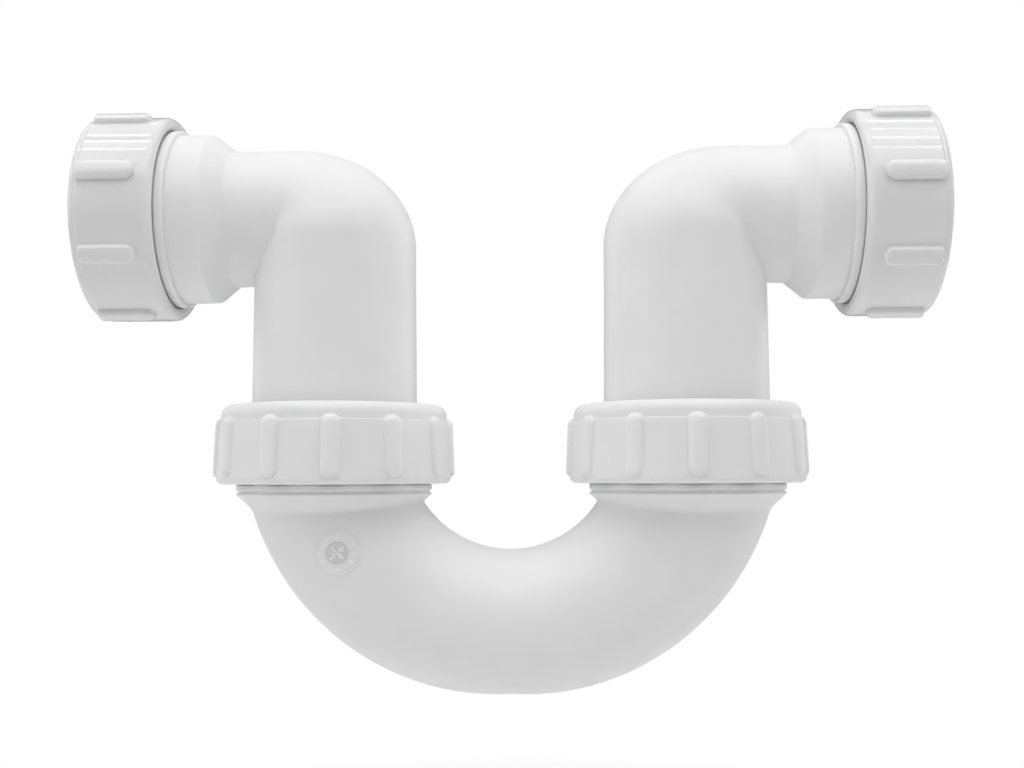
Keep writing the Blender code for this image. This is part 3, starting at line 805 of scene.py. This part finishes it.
def collar_skin():
    """Threaded collar of the left limb, from the bend's centre, with its cone merged into the tube."""
    joint = BEND_JOINT
    root = male_root(joint)
    crest = joint["thread"] + CREST_OVER_THREAD
    groove = joint["thread"] - GROOVE_UNDER_THREAD
    first = tube_ring(COLLAR_FOOT)
    angles = np.sort(np.arctan2(first[:, 1], first[:, 0] + LEG_SPACING / 2))[None, :]
    z = np.linspace(COLLAR_FOOT, CREST_HEIGHT - CREST_BEVEL, COLLAR_ROWS)[:, None]
    cone = crest + (z - CREST_HEIGHT) * CONE_SLOPE
    skin = Skin()
    skin.grid(around(smooth_max(cone, limb_reach(angles, z), CONE_BLEND), z, angles))
    low = CREST_HEIGHT + CREST_LAND
    ring = LAST_RING_HEIGHT
    profile = [
        (crest - CREST_BEVEL * CONE_SLOPE, CREST_HEIGHT - CREST_BEVEL),
        (crest, CREST_HEIGHT),
        (crest, low),
        (groove + GROOVE_ROUND, low + 0.3 * GROOVE_WIDTH),
        (groove, low + 0.5 * GROOVE_WIDTH),
        (groove + GROOVE_ROUND, low + 0.7 * GROOVE_WIDTH),
        (crest, low + GROOVE_WIDTH),
        (crest, ring),
        (crest - LAST_RING_BEVEL / 6, ring + LAST_RING_BEVEL / 2),
        (groove, ring + LAST_RING_BEVEL),
        (groove, ring + RELIEF_END),
        (root, ring + COLLAR_THREAD_START),
    ]
    skin.revolve(soften(profile, RING_ROUND), TUBE_COLUMNS)
    end = Skin()
    thread_start = ring - BEND_MOUTH_RISE + COLLAR_THREAD_START
    end.grid(thread_rows(root, thread_start, -THREAD_LEAD, TUBE_COLUMNS))
    profile = male_end(joint) + [
        (bore(joint), -LEG_SOCKET_DEPTH),
        (bore(joint) - WALL, -LEG_SOCKET_DEPTH),
    ]
    end.revolve(soften(profile, COLLAR_MOUTH_ROUND), TUBE_COLUMNS)
    end.transform(Matrix.Translation((0, 0, BEND_MOUTH_RISE)))
    skin.merge(end)
    skin.transform(Matrix.Translation((-LEG_SPACING / 2, 0, 0)))
    return skin


def half_turned(skin):
    """The same patches turned half round the Z axis."""
    copy = Skin()
    copy.merge(skin)
    copy.transform(Matrix.Rotation(pi, 4, "Z"))
    return copy


def bend_mesh():
    """U bend, from the bend's centre, with the dial's place left open in its front."""
    tube = Skin()
    tube.grid(tube_rows(COLLAR_FOOT, 0.0, TUBE_ROWS, TUBE_COLUMNS))
    centre = tube_point(np.float64(DIAL_TURN), np.float64(DIAL_AROUND))
    points = np.asarray(tube.points)
    near = np.linalg.norm(points - centre, axis=1) < DIAL_RADIUS * DIAL_OPENING
    tube.faces = [face for face in tube.faces if not near[face].any()]
    tube.grid(tube_rows(BEND_MOUTH_RISE - LEG_SOCKET_DEPTH, WALL, BORE_ROWS, BORE_COLUMNS)[::-1])
    collar = collar_skin()
    tube.merge(collar)
    tube.merge(half_turned(collar))
    return tube.mesh("bend")


def dial_frame():
    """Centre, tangents and normal of the dial on the bend's surface."""
    step = 1e-4
    centre = tube_point(np.float64(DIAL_TURN), np.float64(DIAL_AROUND))
    along = tube_point(np.float64(DIAL_TURN + step), np.float64(DIAL_AROUND)) - centre
    across = tube_point(np.float64(DIAL_TURN), np.float64(DIAL_AROUND + step)) - centre
    normal = np.cross(along, across)
    normal /= np.linalg.norm(normal)
    if normal[1] > 0:
        normal = -normal
    up = np.array([0.0, 0.0, 1.0])
    up -= normal * (up @ normal)
    up /= np.linalg.norm(up)
    right = np.cross(up, normal)
    return centre, right, up, normal


def onto_bend(points):
    """Lay flat dial points (right, up, height) on the bend's curved surface."""
    centre, right, up, normal = dial_frame()
    flat = centre + points[..., 0:1] * right + points[..., 1:2] * up

    def is_inside(lift):
        place = flat + lift[..., None] * normal
        return in_tube(place[..., 0], place[..., 1], place[..., 2])

    reach = np.full(flat.shape[:-1], DIAL_REACH)
    lift = bisect(-reach, reach, 30, is_inside)
    return flat + (lift + points[..., 2])[..., None] * normal


def dial_skin(inner, outer, count):
    """Part of a round patch of the bend's surface that has a raised ring and a sunk disc."""
    rings = np.linspace(inner, outer, count)[:, None]
    angles = np.linspace(0, 2 * pi, DIAL_SEGMENTS, endpoint=False)[None, :]
    out = rings - DIAL_RECESS_RADIUS
    recess = -DIAL_RECESS_DEPTH * (1 - smooth_step(-DIAL_RECESS_SLOPE, DIAL_RECESS_SLOPE, out))
    lip = DIAL_LIP_HEIGHT * np.exp(-((out - DIAL_LIP_OUT) / DIAL_LIP_HALF_WIDTH) ** 2)
    ring = DIAL_RING_HEIGHT * np.exp(-((rings - DIAL_RADIUS) / DIAL_RING_HALF_WIDTH) ** 4)
    fade = DIAL_EDGE_DEPTH * smooth_step(DIAL_FADE_START, DIAL_EDGE, rings)
    height = DIAL_LIFT + recess + lip + ring - fade
    rings, height, angles = np.broadcast_arrays(rings, height, angles)
    flat = np.stack([rings * np.cos(angles), rings * np.sin(angles), height], axis=-1)
    skin = Skin()
    skin.grid(onto_bend(flat)[::-1])
    return skin


def glyph_points(text, size):
    """Points and faces of a raised numeral, centred."""
    curve = bpy.data.curves.new("numeral", "FONT")
    curve.body = text
    curve.size = size
    curve.align_x = "CENTER"
    curve.align_y = "CENTER"
    curve.extrude = NUMERAL_HEIGHT
    curve.bevel_depth = NUMERAL_BEVEL
    curve.offset = NUMERAL_BEVEL
    item = bpy.data.objects.new("numeral", curve)
    bpy.context.scene.collection.objects.link(item)
    bpy.context.view_layer.update()
    graph = bpy.context.evaluated_depsgraph_get()
    mesh = bpy.data.meshes.new_from_object(item.evaluated_get(graph))
    points = np.array([v.co[:] for v in mesh.vertices])
    faces = [list(p.vertices) for p in mesh.polygons]
    bpy.data.objects.remove(item, do_unlink=True)
    bpy.data.meshes.remove(mesh)
    bpy.data.curves.remove(curve)
    points[:, :2] -= (points[:, :2].max(axis=0) + points[:, :2].min(axis=0)) / 2
    return points, faces


def numeral_skin():
    """Twelve month numerals round the dial, and an arrow between two digits in its middle."""
    skin = Skin()
    marks = []
    for month in range(1, 13):
        angle = pi / 2 - month * pi / 6
        place = (MONTH_CIRCLE * cos(angle), MONTH_CIRCLE * sin(angle))
        marks.append((str(month), MONTH_SIZE, place, angle - pi / 2, 0.0))
    for digit, place in DIGITS:
        marks.append((digit, DIGIT_SIZE, place, DIGIT_TURN, DIGIT_FLOOR))
    for text, size, place, turn, floor in marks:
        points, faces = glyph_points(text, size)
        turned = np.stack([
            points[:, 0] * cos(turn) - points[:, 1] * sin(turn) + place[0],
            points[:, 0] * sin(turn) + points[:, 1] * cos(turn) + place[1],
            points[:, 2] + floor,
        ], axis=-1)
        skin.add(onto_bend(turned), faces)
    skin.add(*arrow_points())
    return skin


def arrow_points():
    """Raised arrow across the dial's sunk disc, pointing down to the right."""
    outline = [
        (ARROW_TAIL, -ARROW_SHAFT), (ARROW_NECK, -ARROW_SHAFT), (ARROW_NECK, -ARROW_BARB), (ARROW_TIP, 0.0),
        (ARROW_NECK, ARROW_BARB), (ARROW_NECK, ARROW_SHAFT), (ARROW_TAIL, ARROW_SHAFT),
    ]
    across = cos(ARROW_TURN)
    rise = sin(ARROW_TURN)
    count = len(outline)
    points = []
    for height in ARROW_HEIGHTS:
        for x, y in outline:
            points.append((x * across - y * rise, x * rise + y * across, height))
    faces = [list(range(count, 2 * count))]
    faces += [[i, (i + 1) % count, (i + 1) % count + count, i + count] for i in range(count)]
    return onto_bend(np.asarray(points)), faces


def operator(tree, kind, operation):
    """Add a node that does one sum."""
    item = tree.nodes.new(kind)
    item.operation = operation
    return item


def ranged(tree, source, low, high, from_low=0.3, from_high=0.7):
    """Map a value from one range to another."""
    item = tree.nodes.new("ShaderNodeMapRange")
    item.inputs["From Min"].default_value = from_low
    item.inputs["From Max"].default_value = from_high
    item.inputs["To Min"].default_value = low
    item.inputs["To Max"].default_value = high
    tree.links.new(source, item.inputs["Value"])
    return item.outputs["Result"]


def noise(tree, place, scale, detail=2.0, roughness=0.5):
    """Soft noise. The scale is in waves a metre."""
    item = tree.nodes.new("ShaderNodeTexNoise")
    item.inputs["Scale"].default_value = scale
    item.inputs["Detail"].default_value = detail
    item.inputs["Roughness"].default_value = roughness
    tree.links.new(place, item.inputs["Vector"])
    return item.outputs["Fac"]


def bumped(tree, height, strength, distance, before=None):
    """Bump by a height, on top of the bump before it."""
    item = tree.nodes.new("ShaderNodeBump")
    item.inputs["Strength"].default_value = strength
    item.inputs["Distance"].default_value = distance
    tree.links.new(height, item.inputs["Height"])
    if before:
        tree.links.new(before, item.inputs["Normal"])
    return item.outputs["Normal"]


def mixed_colour(tree, factor, first, second):
    """Mix two colours by a factor."""
    item = tree.nodes.new("ShaderNodeMix")
    item.data_type = "RGBA"
    item.inputs["A"].default_value = (*first, 1.0)
    item.inputs["B"].default_value = (*second, 1.0)
    tree.links.new(factor, item.inputs["Factor"])
    return item.outputs["Result"]


def new_material(name):
    """A new material, its node tree, its shader and the place of each point."""
    material = bpy.data.materials.new(name)
    material.use_nodes = True
    tree = material.node_tree
    place = tree.nodes.new("ShaderNodeTexCoord").outputs["Object"]
    return material, tree, tree.nodes["Principled BSDF"], place


def plastic(name, colour, roughness, grain, waviness=0.35, split_line=False, soft=0.4):
    """Moulded plastic: faint clouding, uneven gloss, fine mould grain and maybe a split line."""
    material, tree, shader, place = new_material(name)
    shader.inputs["IOR"].default_value = 1.49
    shader.inputs["Subsurface Weight"].default_value = soft
    shader.inputs["Subsurface Radius"].default_value = (1.0, 1.0, 1.0)
    shader.inputs["Subsurface Scale"].default_value = LIGHT_DEPTH
    clouds = ranged(tree, noise(tree, place, scale=55.0, detail=3.0, roughness=0.55), 0.0, 1.0)
    darker = [c * CLOUD_DARK for c in colour]
    lighter = [min(1.0, c * CLOUD_LIGHT) for c in colour]
    tree.links.new(mixed_colour(tree, clouds, darker, lighter), shader.inputs["Base Color"])
    gloss = noise(tree, place, scale=240.0, detail=4.0, roughness=0.6)
    gloss = ranged(tree, gloss, roughness * GLOSS_LOW, roughness * GLOSS_HIGH)
    tree.links.new(gloss, shader.inputs["Roughness"])
    surface = bumped(tree, noise(tree, place, scale=120.0), waviness, WAVE_HEIGHT)
    surface = bumped(tree, noise(tree, place, scale=2600.0, roughness=0.6), grain, GRAIN_HEIGHT, surface)
    if split_line:
        surface = split_bump(tree, place, surface)
    tree.links.new(surface, shader.inputs["Normal"])
    return material


def split_bump(tree, place, before):
    """Fine raised line where the two halves of the mould met, in the middle plane."""
    parts = tree.nodes.new("ShaderNodeSeparateXYZ")
    tree.links.new(place, parts.inputs["Vector"])
    size = operator(tree, "ShaderNodeMath", "ABSOLUTE")
    tree.links.new(parts.outputs["Y"], size.inputs[0])
    line = ranged(tree, size.outputs[0], 1.0, 0.0, from_low=SPLIT_CREST, from_high=SPLIT_FOOT)
    return bumped(tree, line, 0.8, SPLIT_HEIGHT, before)


def rubber(name):
    """Dull black rubber."""
    material, tree, shader, place = new_material(name)
    clouds = noise(tree, place, scale=600.0, detail=3.0, roughness=0.6)
    colour = mixed_colour(tree, clouds, RUBBER_BLACK, RUBBER_GREY)
    tree.links.new(colour, shader.inputs["Base Color"])
    gloss = noise(tree, place, scale=400.0, detail=3.0)
    tree.links.new(ranged(tree, gloss, 0.55, 0.75), shader.inputs["Roughness"])
    grain = bumped(tree, noise(tree, place, scale=3000.0), 0.3, RUBBER_GRAIN_HEIGHT)
    tree.links.new(grain, shader.inputs["Normal"])
    return material


def put(name, mesh, material, matrix, body, nodes):
    """Add a piece that stands for frame nodes and rides on their body."""
    piece = bpy.data.objects.new(name, mesh)
    bpy.context.scene.collection.objects.link(piece)
    if not mesh.materials:
        mesh.materials.append(material)
    piece.matrix_world = matrix
    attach(piece, body)
    if nodes:
        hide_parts(*nodes)


def build_trap():
    """Model every piece and set it in the frame."""
    elbow_plastic = plastic("elbow_plastic", WHITE, roughness=0.44, grain=0.10, split_line=True)
    bend_plastic = plastic("bend_plastic", WHITE, roughness=0.46, grain=0.10, split_line=True)
    nut_plastics = {
        "bend": plastic("bend_nut_plastic", WHITE, roughness=0.50, grain=0.16),
        "socket": plastic("socket_nut_plastic", GLOSSY_WHITE, roughness=0.085, grain=0.004, waviness=0.16),
    }
    dial_plastic = plastic("dial_plastic", DIAL_WHITE, roughness=0.46, grain=0.10, soft=0.0)
    # The sunk disc gets its own darker grey plastic, which paints the shade in its recess.
    dial_disc_painted_shade = plastic("dial_disc_painted_shade", DISC_PAINTED_SHADE_GREY, roughness=0.55, grain=0.30, soft=0.0)
    numeral_plastic = plastic("numeral_plastic", NUMERAL_WHITE, roughness=0.40, grain=0.05, soft=0.0)
    washer_plastic = plastic("washer_plastic", WASHER_WHITE, roughness=0.35, grain=0.05)
    black_rubber = rubber("black_rubber")

    bend_place = Matrix.Translation((0, 0, -BEND_DROP))
    put("bend_moulding", bend_mesh(), bend_plastic, bend_place, "bend", ["u_bend"])
    dial_parts = (
        ("date_dial", dial_skin(DIAL_SPLIT, DIAL_EDGE, DIAL_RINGS), dial_plastic),
        ("date_dial_numerals", numeral_skin(), numeral_plastic),
        ("date_dial_disc", dial_skin(DIAL_DISC_START, DIAL_SPLIT, DISC_RINGS), dial_disc_painted_shade),
    )
    for name, skin, material in dial_parts:
        mesh = skin.mesh(name, weld=1e-7, sharp=40)
        put(name, mesh, material, bend_place, "bend", [])

    elbow = elbow_mesh()
    washers = {kind: washer_skin(joint).mesh(f"{kind}_washer") for kind, joint in JOINTS.items()}
    seals = {kind: seal_skin(joint).mesh(f"{kind}_seal") for kind, joint in JOINTS.items()}
    for end, side in (("inlet", -1), ("outlet", 1)):
        leg = side * LEG_SPACING / 2
        turn = Matrix.Rotation(pi if side < 0 else 0, 4, "Z")
        put(f"{end}_elbow_moulding", elbow, elbow_plastic, Matrix.Translation((leg, 0, 0)) @ turn,
            f"{end}_elbow_body", [f"{end}_elbow"])
        places = {
            "bend": Matrix.Translation((leg, 0, BEND_MOUTH_RISE - BEND_DROP)),
            "socket": joint_place((leg + side * SOCKET_MOUTH, 0, 0), side),
        }
        bodies = {"bend": f"{end}_seat", "socket": f"{end}_elbow_body"}
        for kind, joint in JOINTS.items():
            phase = RIB_PHASES[f"{end}_{kind}"] - pi / 2
            nut = nut_skin(joint, phase).mesh(f"{end}_{kind}_nut_ribbed")
            put(f"{end}_{kind}_nut_ribbed", nut, nut_plastics[kind], places[kind],
                f"{end}_{kind}_nut_body", [f"{end}_{kind}_nut"])
            put(f"{end}_{kind}_slip_washer", washers[kind], washer_plastic, places[kind],
                f"{end}_{kind}_slide", [f"{end}_{kind}_washer"])
            put(f"{end}_{kind}_taper_seal", seals[kind], black_rubber, places[kind],
                bodies[kind], [f"{end}_{kind}_seal"])


def add_camera():
    """Camera that sees the trap as the photograph does."""
    data = bpy.data.cameras.new("camera")
    data.sensor_fit = "HORIZONTAL"
    data.sensor_width = SENSOR_WIDTH
    data.lens = CAMERA_LENS
    data.shift_x, data.shift_y = CAMERA_SHIFT
    data.clip_start = 0.01
    camera = bpy.data.objects.new("camera", data)
    camera.location = CAMERA_PLACE
    camera.rotation_euler = Euler([radians(a) for a in CAMERA_TURN])
    bpy.context.scene.collection.objects.link(camera)
    bpy.context.scene.camera = camera


def add_lamp(name, place, target, size, watts):
    """Rectangular area lamp that faces a target."""
    data = bpy.data.lights.new(name, "AREA")
    data.shape = "RECTANGLE"
    data.size, data.size_y = size
    data.energy = watts
    lamp = bpy.data.objects.new(name, data)
    lamp.location = place
    direction = Vector(target) - Vector(place)
    lamp.rotation_euler = direction.to_track_quat("-Z", "Y").to_euler()
    bpy.context.scene.collection.objects.link(lamp)
    return lamp


def add_world():
    """Even pale surroundings that look white to the camera."""
    world = bpy.data.worlds.new("surroundings")
    world.use_nodes = True
    tree = world.node_tree
    background = tree.nodes["Background"]
    background.inputs["Color"].default_value = (1.0, 1.0, 1.0, 1.0)
    background.inputs["Strength"].default_value = WORLD_LEVEL
    white = tree.nodes.new("ShaderNodeBackground")
    white.inputs["Color"].default_value = (1.0, 1.0, 1.0, 1.0)
    white.inputs["Strength"].default_value = 1.0
    mix = tree.nodes.new("ShaderNodeMixShader")
    rays = tree.nodes.new("ShaderNodeLightPath")
    tree.links.new(rays.outputs["Is Camera Ray"], mix.inputs["Fac"])
    tree.links.new(background.outputs["Background"], mix.inputs[1])
    tree.links.new(white.outputs["Background"], mix.inputs[2])
    tree.links.new(mix.outputs["Shader"], tree.nodes["World Output"].inputs["Surface"])
    bpy.context.scene.world = world


def add_floor():
    """Pale floor below the trap, white to the camera away from the trap's shadow."""
    mesh = bpy.data.meshes.new("floor")
    corners = [(FLOOR_HALF * x, FLOOR_HALF * y, 0) for x, y in ((-1, -1), (1, -1), (1, 1), (-1, 1))]
    mesh.from_pydata(corners, [], [(0, 1, 2, 3)])
    floor = bpy.data.objects.new("floor", mesh)
    floor.location = (0, 0, FLOOR_HEIGHT)
    bpy.context.scene.collection.objects.link(floor)
    material, tree, shader, place = new_material("pale_floor")
    shader.inputs["Base Color"].default_value = (0.86, 0.86, 0.86, 1.0)
    shader.inputs["Roughness"].default_value = 0.7
    length = operator(tree, "ShaderNodeVectorMath", "LENGTH")
    tree.links.new(place, length.inputs[0])
    far = ranged(tree, length.outputs["Value"], 0.0, 1.0, FLOOR_GREY_TO, FLOOR_WHITE_FROM)
    rays = tree.nodes.new("ShaderNodeLightPath")
    factor = operator(tree, "ShaderNodeMath", "MULTIPLY")
    tree.links.new(far, factor.inputs[0])
    tree.links.new(rays.outputs["Is Camera Ray"], factor.inputs[1])
    glow = tree.nodes.new("ShaderNodeEmission")
    glow.inputs["Color"].default_value = (1.0, 1.0, 1.0, 1.0)
    glow.inputs["Strength"].default_value = 1.0
    mix = tree.nodes.new("ShaderNodeMixShader")
    tree.links.new(factor.outputs[0], mix.inputs["Fac"])
    tree.links.new(shader.outputs["BSDF"], mix.inputs[1])
    tree.links.new(glow.outputs["Emission"], mix.inputs[2])
    tree.links.new(mix.outputs["Shader"], tree.nodes["Material Output"].inputs["Surface"])
    mesh.materials.append(material)


def add_lamps():
    """Soft panels round the trap, and two rows of short tubes overhead."""
    for lamp in LAMPS:
        add_lamp(*lamp)
    for x, places in TUBES:
        for y in places:
            tube = add_lamp("tube", (x, y, TUBE_HEIGHT), (x, y, 0.0), TUBE_SIZE, TUBE_WATTS)
            tube.rotation_euler = (0.0, 0.0, TUBE_TURN)


build_trap()
add_camera()
add_world()
add_floor()
add_lamps()
bpy.context.scene.view_settings.view_transform = "Standard"
